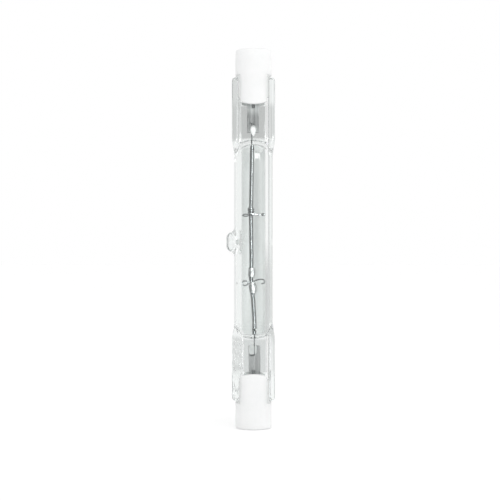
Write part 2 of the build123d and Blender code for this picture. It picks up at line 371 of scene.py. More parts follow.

# %% [markdown]
# The rims are the thick sides of a press. They differ from left to right and from end to end: the left rims
# are darker, a painted shade for light that comes from the right, and the right side of the tube's lower
# half carries painted shade as well. So each side has its own ramp up the bulb, and the two are mixed over
# the middle.

# %% Grey of the rims
LEFT_RIM_PAINTED_SHADE = [
    (10.18, "#F4F7F6"), (12.14, "#E2E5E4"), (18.32, "#E2E5E4"), (19.18, CLEAR),
    (59.12, CLEAR), (59.98, "#BEC1C0"), (66.56, "#BEC1C0"), (68.12, "#C6C9C8"),
]
RIGHT_RIM_PAINTED_SHADE = [
    (10.18, "#F8FBFA"), (12.14, "#EAEDEC"), (18.32, "#EAEDEC"), (19.18, "#D6D9D8"), (32.89, "#D6D9D8"),
    (39.15, CLEAR), (59.12, CLEAR), (59.98, "#DBDEDD"), (66.56, "#DBDEDD"), (67.73, "#FAFDFC"),
]
left_rim_shade, right_rim_shade = [
    add(tree, "ShaderNodeValToRGB", {"Fac": up_bulb.outputs["Result"]}, stops_between(0, LENGTH, stops))
    for stops in (LEFT_RIM_PAINTED_SHADE, RIGHT_RIM_PAINTED_SHADE)]
rims_with_side_shade = add(tree, "ShaderNodeMix", {
    "Factor": on_right.outputs["Result"], "A": left_rim_shade.outputs["Color"], "B": right_rim_shade.outputs["Color"],
}, data_type="RGBA")
print("left rim has", len(LEFT_RIM_PAINTED_SHADE), "greys and right rim", len(RIGHT_RIM_PAINTED_SHADE))

# %% [markdown]
# A rim is round, and its sides bend the light away, which shows as darker bands along it. They are a ramp
# across the bulb, and a second ramp up the bulb says how much they count: fully on the presses, less inside
# the caps, and not at all on the tube.

# %% Bands along the rims
WHITE = "#FFFFFF"
BLACK = "#000000"
RIM_BANDS = [
    (-4.1, "#F4F4F4"), (-3.8, "#D2D2D2"), (-3.4, "#D2D2D2"), (-3.1, "#DEDEDE"), (-2.85, "#E8E8E8"),
    (-2.65, WHITE), (2.9, WHITE), (3.1, "#E2E2E2"), (3.6, "#D8D8D8"), (3.75, "#C6C6C6"), (3.9, "#F2F2F2"),
]
BAND_STRENGTH = [
    (10.18, "#404040"), (12.14, WHITE), (18.32, WHITE), (19.18, BLACK),
    (59.12, BLACK), (59.98, WHITE), (66.56, WHITE), (68.12, "#B0B0B0"),
]
band_strength = add(tree, "ShaderNodeValToRGB", {"Fac": up_bulb.outputs["Result"]},
                    stops_between(0, LENGTH, BAND_STRENGTH))
rim_bands = add(tree, "ShaderNodeValToRGB", {"Fac": across_bulb.outputs["Result"]},
                stops_between(-RAMP_HALF, RAMP_HALF, RIM_BANDS))
rim_grey = add(tree, "ShaderNodeMix", {
    "Factor": band_strength.outputs["Color"], "A": rims_with_side_shade.outputs["Result"],
    "B": rim_bands.outputs["Color"],
}, data_type="RGBA", blend_type="MULTIPLY")
print("rim bands run from", RIM_BANDS[0][0], "to", RIM_BANDS[-1][0], "mm across")

# %% [markdown]
# Web and rim meet at a line. The lower web lies a little to the right of the axis and the upper one a touch
# to the left, so the distance from the axis is shifted before it is compared with the web's half width.

# %% Webs between their rims
LOWER_WEB_SHIFT = -0.40
UPPER_WEB_SHIFT = 0.06
SHIFT_START = 31.32
SHIFT_END = 46.98
WEB_EDGE = 2.55
RIM_EDGE = 2.70
web_shift = add(tree, "ShaderNodeMapRange", {
    "Value": quartz_place.outputs["Z"], "From Min": SHIFT_START * MM, "From Max": SHIFT_END * MM,
    "To Min": LOWER_WEB_SHIFT * MM, "To Max": UPPER_WEB_SHIFT * MM})
from_web = add(tree, "ShaderNodeMath", {0: sideways, 1: web_shift.outputs["Result"]}, operation="ADD")
from_web = add(tree, "ShaderNodeMath", {0: from_web.outputs["Value"]}, operation="ABSOLUTE")
on_web = add(tree, "ShaderNodeMapRange", {
    "Value": from_web.outputs["Value"], "From Min": RIM_EDGE * MM, "From Max": WEB_EDGE * MM})
back_tint = add(tree, "ShaderNodeMix", {
    "Factor": on_web.outputs["Result"], "A": rim_grey.outputs["Result"], "B": web_grey.outputs["Color"],
}, data_type="RGBA")
print("webs end", WEB_EDGE, "mm from their middle")

# %% [markdown]
# All this grey is laid on the back wall only, so that a ray straight through meets it once. The front wall
# has what lies on the front: two thin lines along its right side, a clear one that is a painted highlight
# and a grey one, and a grey side over the lower half of the tube, which is painted shade.

# %% Front and back
HIGHLIGHT_AND_GREY_LINES = [
    (2.38, CLEAR), (2.48, WHITE), (2.98, WHITE), (3.08, "#B0B3B2"), (3.24, "#B0B3B2"), (3.32, CLEAR)]
SIDE_SHADE_HEIGHTS = [(17.23, BLACK), (19.58, WHITE), (31.32, WHITE), (39.15, BLACK)]
SIDE_SHADE_START = 2.3
SIDE_SHADE_FULL = 2.6
highlight_and_grey_lines = add(tree, "ShaderNodeValToRGB", {"Fac": across_bulb.outputs["Result"]},
                  stops_between(-RAMP_HALF, RAMP_HALF, HIGHLIGHT_AND_GREY_LINES))
side_shade_up = add(tree, "ShaderNodeValToRGB", {"Fac": up_bulb.outputs["Result"]},
                   stops_between(0, LENGTH, SIDE_SHADE_HEIGHTS))
side_shade_across = add(tree, "ShaderNodeMapRange", {
    "Value": sideways, "From Min": SIDE_SHADE_START * MM, "From Max": SIDE_SHADE_FULL * MM})
painted_side_shade = add(tree, "ShaderNodeMath", {0: side_shade_up.outputs["Color"], 1: side_shade_across.outputs["Result"]},
                operation="MULTIPLY")
front_tint = add(tree, "ShaderNodeMix", {
    "Factor": painted_side_shade.outputs["Value"], "A": highlight_and_grey_lines.outputs["Color"], "B": linear("#C8CBCA"),
}, data_type="RGBA")
wall_tint = add(tree, "ShaderNodeMix", {
    "Factor": at_back.outputs["Result"], "A": front_tint.outputs["Result"],
    "B": back_tint.outputs["Result"],
}, data_type="RGBA")
print("front wall has", len(HIGHLIGHT_AND_GREY_LINES), "stops across and", len(SIDE_SHADE_HEIGHTS), "up")

# %% [markdown]
# The end of the exhaust tip is tinted grey. The tip is what lies farthest to the left, so a place across the
# bulb is enough to find it, and the grey fades in over 0.3 mm.

# %% Grey end of the exhaust tip
TIP_GREY_START = -4.95
TIP_GREY_FULL = -5.25
tip_grey = add(tree, "ShaderNodeMapRange", {
    "Value": sideways, "From Min": TIP_GREY_START * MM, "From Max": TIP_GREY_FULL * MM})
tip_grey_tint = add(tree, "ShaderNodeMix", {
    "Factor": tip_grey.outputs["Result"], "A": wall_tint.outputs["Result"], "B": linear("#B4B7B6"),
}, data_type="RGBA")
print("smoke on what lies beyond", TIP_GREY_START, "mm")

# %% [markdown]
# Along the edges of the tube a ray runs a long way through the wall, and the glass is tinted grey there: a
# painted shade. The facing of a Layer Weight node finds the edges from every side, as it would for gloss.
# They count on the tube alone, not on the presses or on the exhaust stub.

# %% Edges of the tube
STUB_START = -4.0
STUB_FULL = -4.1
EDGE_START = 0.52
EDGE_FULL = 0.9
TUBE_HEIGHTS = [(19.58, BLACK), (21.92, WHITE), (56.38, WHITE), (58.73, BLACK)]
skimming = add(tree, "ShaderNodeLayerWeight", {"Blend": 0.5})
edge = add(tree, "ShaderNodeMapRange", {
    "Value": skimming.outputs["Facing"], "From Min": EDGE_START, "From Max": EDGE_FULL})
on_tube = add(tree, "ShaderNodeValToRGB", {"Fac": up_bulb.outputs["Result"]},
              stops_between(0, LENGTH, TUBE_HEIGHTS))
off_stub = add(tree, "ShaderNodeMapRange", {
    "Value": sideways, "From Min": STUB_FULL * MM, "From Max": STUB_START * MM})
painted_edge_shade = add(tree, "ShaderNodeMath", {0: edge.outputs["Result"], 1: on_tube.outputs["Color"]},
                operation="MULTIPLY")
painted_edge_shade = add(tree, "ShaderNodeMath", {0: painted_edge_shade.outputs["Value"], 1: off_stub.outputs["Result"]},
                operation="MULTIPLY")
glass_tint = add(tree, "ShaderNodeMix", {
    "Factor": painted_edge_shade.outputs["Value"], "A": tip_grey_tint.outputs["Result"], "B": linear("#9EA4A2"),
}, data_type="RGBA")
print("tube edges are grey from", TUBE_HEIGHTS[0][0], "to", TUBE_HEIGHTS[-1][0], "mm")

# %% [markdown]
# Drawing also leaves faint streaks along the tube, about 0.6 mm wide and twenty times as long. They are too
# shallow to model, so they are a weak bump. Quartz has an index of 1.458, lower than window glass, and its
# fire-polished skin has no roughness.

# %% Streaks and the clear quartz
QUARTZ_INDEX = 1.458
STREAK_WIDTH = 0.6
STREAK_SQUEEZE = 0.05
streak_place = add(tree, "ShaderNodeMapping", {"Vector": place, "Scale": (1.0, 1.0, STREAK_SQUEEZE)})
streaks = add(tree, "ShaderNodeTexNoise", {
    "Vector": streak_place.outputs["Vector"], "Scale": cycles_for(STREAK_WIDTH), "Detail": 2.0})
streak_bump = add(tree, "ShaderNodeBump", {
    "Height": streaks.outputs["Fac"], "Strength": 0.04, "Distance": 0.1 * MM})
set_inputs(tree, shader, {
    "Base Color": glass_tint.outputs["Result"], "Normal": streak_bump.outputs["Normal"],
    "Transmission Weight": 1.0, "IOR": QUARTZ_INDEX, "Roughness": 0.0})
print(quartz.name, "has", len(tree.nodes), "nodes")

# %% [markdown]
# ## The wall of the bore
# A burnt bulb carries a thin grey film of tungsten on the wall of its bore, so the middle of the tube looks
# darker than its solid sides. The film is cloudy, a little thicker on the right and towards the top, and it
# thins out near the ends of the bore, where the wall stays cooler.

# %% Material of the bore
FILM_CLOUD = 2.5
FILM_SQUEEZE = 0.15
FILM_FADE = 1.2
DARKER_UP_HEIGHTS = [(27.4, WHITE), (46.98, "#F3F3F3")]
# bore wall of fused quartz: the same clear quartz under a grey film and painted shade, uneven along the tube
bore_wall, tree, shader, place = new_material("fused_quartz_bore_with_film_and_painted_shade")
film_place = add(tree, "ShaderNodeMapping", {"Vector": place, "Scale": (1.0, 1.0, FILM_SQUEEZE)})
film = add(tree, "ShaderNodeTexNoise", {
    "Vector": film_place.outputs["Vector"], "Scale": cycles_for(FILM_CLOUD), "Detail": 3.0})
thin_film_and_shade, thick_film_and_shade = [
    add(tree, "ShaderNodeValToRGB", {"Fac": film.outputs["Fac"]}, stops)
    for stops in ([(0.3, "#E0E3E2"), (0.7, "#E9ECEB")], [(0.3, "#DADDDC"), (0.7, "#E3E6E5")])]
bore_place = add(tree, "ShaderNodeSeparateXYZ", {"Vector": place})
darker_on_right = add(tree, "ShaderNodeMapRange", {
    "Value": bore_place.outputs["X"], "From Min": -FILM_FADE * MM, "From Max": FILM_FADE * MM})
film_and_shade_tint = add(tree, "ShaderNodeMix", {
    "Factor": darker_on_right.outputs["Result"], "A": thin_film_and_shade.outputs["Color"],
    "B": thick_film_and_shade.outputs["Color"],
}, data_type="RGBA")
up_bore = add(tree, "ShaderNodeMapRange", {"Value": bore_place.outputs["Z"], "From Max": LENGTH * MM})
darker_up_bore = add(tree, "ShaderNodeValToRGB", {"Fac": up_bore.outputs["Result"]},
            stops_between(0, LENGTH, DARKER_UP_HEIGHTS))
darker_up_tint = add(tree, "ShaderNodeMix", {
    "Factor": 1.0, "A": film_and_shade_tint.outputs["Result"], "B": darker_up_bore.outputs["Color"],
}, data_type="RGBA", blend_type="MULTIPLY")
print("film clouds of", FILM_CLOUD, "mm, darker above", DARKER_UP_HEIGHTS[0][0], "mm")

# %% [markdown]
# The film and its painted shade end raggedly. The distance from the middle of the bulb says where, and the
# clouds of the film push that border to and fro by up to three millimetres.

# %% Ends of the film
RAGGED = 3.0
FILM_END = 19.8
FILM_GONE = 20.3
from_middle = add(tree, "ShaderNodeMath", {0: bore_place.outputs["Z"], 1: MIDDLE * MM},
                  operation="SUBTRACT")
from_middle = add(tree, "ShaderNodeMath", {0: from_middle.outputs["Value"]}, operation="ABSOLUTE")
ragged_end = add(tree, "ShaderNodeMath", {
    0: film.outputs["Fac"], 1: RAGGED * MM, 2: from_middle.outputs["Value"]}, operation="MULTIPLY_ADD")
past_film_and_shade = add(tree, "ShaderNodeMapRange", {
    "Value": ragged_end.outputs["Value"], "From Min": FILM_END * MM, "From Max": FILM_GONE * MM})
bore_tint = add(tree, "ShaderNodeMix", {
    "Factor": past_film_and_shade.outputs["Result"], "A": darker_up_tint.outputs["Result"], "B": linear("#F4F6F5"),
}, data_type="RGBA")
set_inputs(tree, shader, {
    "Base Color": bore_tint.outputs["Result"], "Transmission Weight": 1.0, "IOR": QUARTZ_INDEX,
    "Roughness": 0.0})
print(bore_wall.name, "has", len(tree.nodes), "nodes")

# %% [markdown]
# ## Bubbles in the presses
# The jaws don't quite close round the inner leads and leave a bubble there, which gathers light from all
# round and looks white. That white is painted into the bubble's colour, a painted highlight. The lower one
# is the whiter, and the upper one turns grey towards its top. Both have soft steps of about 0.4 mm.

# %% Material of the bubbles
BUBBLE_STEP = 0.4
LOWER_BUBBLES_END = 20.0
UPPER_BUBBLES_START = 60.0
SOFT_TOP_START = 62.0
SOFT_TOP_END = 62.95
# bubble trapped in fused quartz: a satin white spot in the clear press, its white a painted highlight
bubble, tree, shader, place = new_material("fused_quartz_trapped_bubble")
bubble_steps = add(tree, "ShaderNodeTexNoise", {
    "Vector": place, "Scale": cycles_for(BUBBLE_STEP), "Detail": 2.0})
upper_white, lower_white = [
    add(tree, "ShaderNodeValToRGB", {"Fac": bubble_steps.outputs["Fac"]}, stops)
    for stops in ([(0.3, "#D6D9D8"), (0.7, "#E4E7E6")], [(0.3, "#ECEFEE"), (0.7, "#F8FAF9")])]
bubble_height = add(tree, "ShaderNodeSeparateXYZ", {"Vector": place}).outputs["Z"]
is_upper = add(tree, "ShaderNodeMapRange", {
    "Value": bubble_height, "From Min": LOWER_BUBBLES_END * MM, "From Max": UPPER_BUBBLES_START * MM})
below_top = add(tree, "ShaderNodeMapRange", {
    "Value": bubble_height, "From Min": SOFT_TOP_END * MM, "From Max": SOFT_TOP_START * MM})
bubble_white = add(tree, "ShaderNodeMix", {
    "Factor": is_upper.outputs["Result"], "A": lower_white.outputs["Color"],
    "B": upper_white.outputs["Color"],
}, data_type="RGBA")
bubble_tint = add(tree, "ShaderNodeMix", {
    "Factor": below_top.outputs["Result"], "A": linear("#A4A7A6"), "B": bubble_white.outputs["Result"],
}, data_type="RGBA")
print("upper bubble turns grey from", SOFT_TOP_START, "to", SOFT_TOP_END, "mm")

# %% [markdown]
# A path tracer finds the light in a bubble only by chance. A little emission stands in for it in the upper
# bubble: strongest in its middle, and fading with its white towards the top.

# %% Glow of the upper bubble
BUBBLE_GLOW = 0.6
GLOW_EDGE = 0.7
GLOW_CORE = 0.1
bubble_facing = add(tree, "ShaderNodeLayerWeight", {"Blend": 0.5})
core_glow = add(tree, "ShaderNodeMapRange", {
    "Value": bubble_facing.outputs["Facing"], "From Min": GLOW_EDGE, "From Max": GLOW_CORE,
    "To Min": 0.0, "To Max": BUBBLE_GLOW})
top_glow = add(tree, "ShaderNodeMath", {0: core_glow.outputs["Result"], 1: below_top.outputs["Result"]},
               operation="MULTIPLY")
upper_glow = add(tree, "ShaderNodeMath", {0: top_glow.outputs["Value"], 1: is_upper.outputs["Result"]},
                 operation="MULTIPLY")
set_inputs(tree, shader, {
    "Base Color": bubble_tint.outputs["Result"], "Roughness": 0.4,
    "Emission Color": linear(WHITE), "Emission Strength": upper_glow.outputs["Value"]})
print(bubble.name, "has", len(tree.nodes), "nodes")

# %% [markdown]
# ## The presses
# A press is a thin web between two thick rims that run out into the tube. Both presses are built at once,
# because a place on either is told by its distance from the nearer end. The four rims differ in width here,
# and in the CAD source they are alike.

# %% Ends and rims
UPPER_RIMS_INSIDE = (3.15, 3.0)
LOWER_RIMS_INSIDE = (2.6, 3.2)


def inset_of(z):
    """Distance from the nearer end of the bulb."""
    return MIDDLE - np.abs(z - MIDDLE)


def rim_inside(x, z):
    """Distance from the axis to the inner side of each of the four rims."""
    upper = np.where(x < 0, *UPPER_RIMS_INSIDE)
    lower = np.where(x < 0, *LOWER_RIMS_INSIDE)
    return np.where(z > MIDDLE, upper, lower)


print("rims begin", LOWER_RIMS_INSIDE, "and", UPPER_RIMS_INSIDE, "mm to the left and right of the axis")

# %% [markdown]
# A press is less even here in other ways too: the web is rippled, the rims are fluted, and the lower left
# rim is dented. Sines are enough for that: each has a depth in millimetres and turns by radians per
# millimetre.

# %% Presses
PRESS_END = 5.8
RIM_HALF_THICKNESS = 2.2
RIM_ROUNDING = 0.65
WEB_HALF_THICKNESS = 1.2
WEB_HALF_WIDTH = 3.6
WEB_FILLET = 0.8
EAR_ROUNDING = 0.9
EAR_BLEND = 0.2
RUN_OUT = 20.3
RUN_OUT_SLANT = (0.764, 0.645)
RUN_OUT_BLEND = 1.2
DENT_DEPTH = 0.13


def press(x, y, z):
    """The flat press at each end: a web between two rims that run out into the tube."""
    inset = inset_of(z)
    side = np.abs(x)
    ripples = 0.02 * np.sin(5.3 * x + 0.4 * z) + 0.012 * np.sin(11.0 * x - 0.7 * z + 1.3)
    flutes = 0.02 * np.sin(7.0 * side + 0.1 * z) + 0.012 * np.sin(13.0 * side + 1.0)
    dented = np.where((x < 0) & (z < MIDDLE), DENT_DEPTH, 0.0)
    dents = dented * np.sin(2.3 * z + 1.5 * np.sin(1.1 * z) + 4.0 * x) * np.sin(5.0 * x + 0.9 * z + 2.0 * y)
    inner = rim_inside(x, z)
    off_rim = np.abs(side - (PRESS_HALF + inner) / 2) - (PRESS_HALF - inner) / 2
    rim = rounded_box(off_rim, np.abs(y) - RIM_HALF_THICKNESS, RIM_ROUNDING) + dents + flutes
    web = np.maximum(np.abs(y) - WEB_HALF_THICKNESS + ripples, side - WEB_HALF_WIDTH)
    section = soft_union(rim, web, WEB_FILLET)
    ear = rounded_box(side - PRESS_HALF, PRESS_END - inset, EAR_ROUNDING)
    run_out = (side - PRESS_HALF) * RUN_OUT_SLANT[0] + (inset - RUN_OUT) * RUN_OUT_SLANT[1]
    return soft_max(soft_max(section, ear, EAR_BLEND), run_out, RUN_OUT_BLEND)


print("web", 2 * WEB_HALF_THICKNESS, "mm and rims", 2 * RIM_HALF_THICKNESS, "mm thick")

# %% [markdown]
# ## Outside of the quartz
# The outside joins three things: the round bulb with its domed shoulders, the two presses, and the little
# stub where the exhaust pipe was melted off. All of them melt together over about a millimetre.

# %% Outside of the quartz
TUBE_RADIUS = 3.99
SHOULDER = 18.8
SHOULDER_DOME = 5.6
SHOULDER_ROUNDING = 0.7
TIP_HEIGHT = 38.55
STUB_RADIUS = 1.75
STUB_FLARE = 0.3
STUB_ROUNDING = 0.8
STUB_ROOT = 2.4
MELTED = 0.9


def quartz_outside(x, y, z):
    """Bulb, presses and exhaust stub melted together."""
    radius = np.hypot(x, y)
    dome = np.hypot(radius, np.maximum(SHOULDER + SHOULDER_DOME - inset_of(z), 0)) - SHOULDER_DOME
    bulb = soft_max(radius - TUBE_RADIUS, dome, SHOULDER_ROUNDING)
    stub_side = np.hypot(y, z - TIP_HEIGHT) - STUB_RADIUS - STUB_FLARE * (x + TIP_END)
    stub = np.maximum(rounded_box(stub_side, -x - TIP_END, STUB_ROUNDING), x + STUB_ROOT)
    return soft_union(soft_union(bulb, press(x, y, z), MELTED), stub, MELTED)


outside = skin(quartz_outside, (-5.7, -4.1, 5.7), (4.6, 4.1, LENGTH - 5.7), 0.2)
print("outside of the quartz:", len(outside[1]), "quads")

# %% [markdown]
# ## Bore of the quartz
# The bore holds the gas. It is a second skin, turned inside out, so that light leaves the glass there and
# enters it again on the far side. Its upper end is arched across the web, its lower end is nearly flat, and
# a hole runs out into the exhaust stub and narrows on the way.

# %% Bore of the quartz
BORE_RADIUS = 2.5
BORE_ROUNDING = 0.35
UPPER_BORE_END = 20.1
LOWER_BORE_END = 19.6
UPPER_BORE_ARCH = 4.6
LOWER_BORE_ARCH = 14.0
HOLE_RADIUS = 0.9
HOLE_TAPER = 0.16
HOLE_END = 3.3
HOLE_FILLET = 0.4


def quartz_bore(x, y, z):
    """Gas space of the bulb with its exhaust hole."""
    arch = np.where(z > MIDDLE, UPPER_BORE_ARCH, LOWER_BORE_ARCH)
    end = np.where(z > MIDDLE, UPPER_BORE_END, LOWER_BORE_END)
    arched_end = np.hypot(x, np.maximum(end + arch - inset_of(z), 0)) - arch
    bore = soft_max(np.hypot(x, y) - BORE_RADIUS, arched_end, BORE_ROUNDING)
    hole_side = np.hypot(y, z - TIP_HEIGHT) - HOLE_RADIUS - HOLE_TAPER * x
    hole = np.maximum(hole_side, np.maximum(x, -x - HOLE_END))
    return soft_union(bore, hole, HOLE_FILLET)


def turned_over(shell):
    """The same shell with its faces looking the other way."""
    points, faces = shell
    return points, [face[::-1] for face in faces]


bore = turned_over(skin(quartz_bore, (-5.0, -2.6, 19.2), (2.6, 2.6, LENGTH - 19.2), 0.18))
print("bore of the quartz:", len(bore[1]), "quads")

# %% [markdown]
# The upper bubble is a teardrop round the inner lead, with its point towards the bore. The lower one is
# flat, with square corners, and lies between lead and foil. Both are stretched balls, so a scale brings
# their values near to real distances. With these two, the envelope is complete.

# %% Bubbles and the whole envelope
TEARDROP_WIDEST = 61.7
TEARDROP_RADIUS = 0.66
TEARDROP_UP = 1.2
TEARDROP_DOWN = 1.25
TEARDROP_AXIS = (-0.05, 0.05)
TEARDROP_TAPER = 0.55
TEARDROP_POINT = 0.3
TEARDROP_SCALE = 0.5
FLAT_HALF_WIDTH = 0.82
FLAT_HALF_HEIGHT = 1.0
FLAT_HALF_DEPTH = 0.1
FLAT_MIDDLE = (-0.1, 0.2, 16.25)
FLAT_SCALE = 0.15


def teardrop_bubble(x, y, z):
    """Bubble round the upper inner lead, narrower below its widest place."""
    rise = z - TEARDROP_WIDEST
    along = rise / np.where(rise > 0, TEARDROP_UP, TEARDROP_DOWN)
    narrowed = np.where(rise > 0, 1.0, np.clip(1.0 + TEARDROP_TAPER * along, TEARDROP_POINT, 1))
    across = np.hypot(x - TEARDROP_AXIS[0], y - TEARDROP_AXIS[1]) / (TEARDROP_RADIUS * narrowed)
    return (np.hypot(across, along) - 1) * TEARDROP_SCALE


def flat_bubble(x, y, z):
    """Bubble between the lower inner lead and its foil."""
    wide = (x - FLAT_MIDDLE[0]) / FLAT_HALF_WIDTH
    deep = (y - FLAT_MIDDLE[1]) / FLAT_HALF_DEPTH
    high = (z - FLAT_MIDDLE[2]) / FLAT_HALF_HEIGHT
    return (np.hypot((wide**4 + high**4) ** 0.25, deep) - 1) * FLAT_SCALE


upper_bubble = turned_over(skin(teardrop_bubble, (-0.8, -0.7, 60), (0.6, 0.7, 63.2), 0.06))
lower_bubble = turned_over(skin(flat_bubble, (-1.0, 0.05, 15), (0.8, 0.35, 17.4), 0.04))
envelope = piece("quartz_envelope_glass", [outside, bore, upper_bubble, lower_bubble],
                 [quartz, bore_wall, bubble, bubble], "quartz_envelope")

# %% [markdown]
# ## Steatite
# The caps are steatite, a talc ceramic that is pressed as powder and fired. It is dead white and matt, and
# light spreads a little under its surface, which softens the shading. Its grain is about a tenth of a
# millimetre, too fine to show, so it is drawn three to four times as coarse.

# %% Material of the caps
STEATITE_GRAIN = 0.35
STEATITE_CLOUD = 4.0
GRAIN_SHARE = 0.35
# pressed and fired steatite: matt white with a fine grain and faint clouds
steatite, tree, shader, place = new_material("steatite_pressed_and_fired")
grain = add(tree, "ShaderNodeTexNoise", {
    "Vector": place, "Scale": cycles_for(STEATITE_GRAIN), "Detail": 4.0})
cloud = add(tree, "ShaderNodeTexNoise", {
    "Vector": place, "Scale": cycles_for(STEATITE_CLOUD), "Detail": 2.0})
speckle = add(tree, "ShaderNodeMix", {
    "Factor": GRAIN_SHARE, "A": cloud.outputs["Fac"], "B": grain.outputs["Fac"]})
steatite_white = add(tree, "ShaderNodeValToRGB", {"Fac": speckle.outputs["Result"]},
                     [(0.3, "#F3F5F4"), (0.7, "#F9FAFA")])
grain_bump = add(tree, "ShaderNodeBump", {
    "Height": grain.outputs["Fac"], "Strength": 0.25, "Distance": 0.02 * MM})
set_inputs(tree, shader, {
    "Base Color": steatite_white.outputs["Color"], "Normal": grain_bump.outputs["Normal"],
    "Roughness": 0.6, "Specular IOR Level": 0.35, "Subsurface Weight": 0.6,
    "Subsurface Radius": (1.0, 1.0, 1.0), "Subsurface Scale": 0.8 * MM})
print(steatite.name, "has", len(tree.nodes), "nodes")

# %% [markdown]
# ## Ceramic caps
# A cap is a barrel with a recess for the contact in its end face, and a slot for the press that leaves two
# tongues with an arched end. Powder pressing rounds each edge, so the cap is skinned like the glass. The
# upper cap is the lower one mirrored, and a mirrored shell has to be turned over to keep its faces outside.

# %% Ceramic caps
CAP_RADIUS = 3.75
CAP_LENGTH = 11.45
CAP_ROUNDING = 0.35
END_FACE = 0.01
SLOT_HALF_WIDTH = 2.4
SLOT_FLOOR = 5.4
RECESS_RADIUS = 1.8
RECESS_FLOOR = 2.5
SHANK_RADIUS = 0.9
TONGUE_ARC = 8.0
EDGE_BLEND = 0.2
TONGUE_BLEND = 0.25


def cap(x, y, z):
    """Lower cap: a barrel with a contact recess and a slot for the press."""
    radius = np.hypot(x, y)
    barrel = rounded_box(radius - CAP_RADIUS, END_FACE - z, CAP_ROUNDING)
    recess = np.maximum(radius - RECESS_RADIUS, z - RECESS_FLOOR)
    slot = np.maximum(np.abs(y) - SLOT_HALF_WIDTH, SLOT_FLOOR - z)
    arch = np.hypot(x, z - CAP_LENGTH + TONGUE_ARC) - TONGUE_ARC
    body = soft_max(soft_max(barrel, arch, TONGUE_BLEND), -slot, EDGE_BLEND)
    return np.maximum(soft_max(body, -recess, EDGE_BLEND), SHANK_RADIUS - radius)


def at_upper_end(shell):
    """The same shell at the other end of the bulb."""
    points, faces = turned_over(shell)
    return points * (1, 1, -1) + (0, 0, LENGTH), faces


lower_cap = skin(cap, (-3.8, -3.8, 0), (3.8, 3.8, CAP_LENGTH), 0.15)
piece("lower_ceramic_cap_steatite", [lower_cap], [steatite], "lower_ceramic_cap")
piece("upper_ceramic_cap_steatite", [at_upper_end(lower_cap)], [steatite], "upper_ceramic_cap")

# %% [markdown]
# ## Cement
# White lamp cement fills what press and slot leave open. It was squeezed in as a paste and set rough, a
# little off-white, with sandy specks of a quarter of a millimetre.

# %% Material of the cement
CEMENT_SAND = 0.25
# squeezed and set lamp cement: off-white and dull, with a sandy, uneven surface
cement_paste, tree, shader, place = new_material("lamp_cement_squeezed_and_set")
sand = add(tree, "ShaderNodeTexNoise", {"Vector": place, "Scale": cycles_for(CEMENT_SAND), "Detail": 5.0})
cement_white = add(tree, "ShaderNodeValToRGB", {"Fac": sand.outputs["Fac"]},
                   [(0.3, "#D9DCDB"), (0.65, "#F2F4F3")])
sand_bump = add(tree, "ShaderNodeBump", {
    "Height": sand.outputs["Fac"], "Strength": 0.6, "Distance": 0.08 * MM})
set_inputs(tree, shader, {
    "Base Color": cement_white.outputs["Color"], "Normal": sand_bump.outputs["Normal"], "Roughness": 0.85})
print(cement_paste.name, "has", len(tree.nodes), "nodes")

# %% [markdown]
# The cement ends 0.7 mm behind the arched tongues, in a lumpy edge. Its shape is what the slot holds less
# the glass: the distance function of the quartz is used again, with a hair of room so that they don't
# touch.

# %% Cement round each press
CEMENT_ARC = 7.3
CEMENT_BLEND = 0.1
CEMENT_ROOM = 0.01
GLASS_ROOM = 0.02


def cement_fill(x, y, z):
    """Cement between press and slot, with a lumpy end set back behind the tongues."""
    inset = inset_of(z)
    lumps = 0.1 * np.sin(3.1 * x + 0.5 * z) + 0.08 * np.sin(7.3 * x + 2.0) * np.sin(2.0 * y + z)
    fill = np.maximum(np.abs(y) - SLOT_HALF_WIDTH + CEMENT_ROOM, SLOT_FLOOR + CEMENT_ROOM - inset)
    end = np.hypot(x, inset - CAP_LENGTH + TONGUE_ARC) - CEMENT_ARC - lumps
    round_fill = soft_max(fill, np.hypot(x, y) - CAP_RADIUS + GLASS_ROOM, CEMENT_BLEND)
    return np.maximum(soft_max(round_fill, end, TONGUE_BLEND), GLASS_ROOM - quartz_outside(x, y, z))


lower_fill = skin(cement_fill, (-3.8, -2.4, 5.4), (3.8, 2.4, 12.0), 0.1)
upper_fill = skin(cement_fill, (-3.8, -2.4, LENGTH - 12.0), (3.8, 2.4, LENGTH - 5.4), 0.1)
piece("lower_cement_fill", [lower_fill], [cement_paste], "lower_cement")
piece("upper_cement_fill", [upper_fill], [cement_paste], "upper_cement")

# %% [markdown]
# ## Round wires
# Coil, supports and leads are all round wire. A bevelled curve makes it: a list of points and a diameter,
# and Blender sweeps the round section along them. The curve is turned into points and faces at once and
# removed, so that a wire can join a piece like any other shell.

# %% Round wires
def wire(points, diameter):
    """Points and faces of a round wire along points, all in millimetres."""
    curve = bpy.data.curves.new("wire_path", "CURVE")
    curve.dimensions = "3D"
    curve.bevel_depth = diameter / 2
    curve.bevel_resolution = 2
    curve.use_fill_caps = True
    spline = curve.splines.new("POLY")
    spline.points.add(len(points) - 1)
    spline.points.foreach_set("co", np.c_[points, np.ones(len(points))].ravel())
    holder = bpy.data.objects.new("wire_path", curve)
    mesh = bpy.data.meshes.new_from_object(holder)
    wire_points = np.array([vertex.co for vertex in mesh.vertices])
    wire_faces = [list(polygon.vertices) for polygon in mesh.polygons]
    bpy.data.objects.remove(holder)
    bpy.data.curves.remove(curve)
    bpy.data.meshes.remove(mesh)
    return wire_points, wire_faces


print("a straight wire has", len(wire(np.array([(0, 0, 0), (0, 0, 1.0)]), 0.3)[1]), "faces")

# %% [markdown]
# ## Tungsten
# The coil is drawn tungsten wire. Firing leaves it a smooth grey that is mottled over a millimetre or so. A
# metal only tints what it mirrors: in white surroundings this middle grey looks dark, and the low roughness
# gives it sharp glints of the lamps.

# %% Material of the coil
BURN_PATCH = 1.2
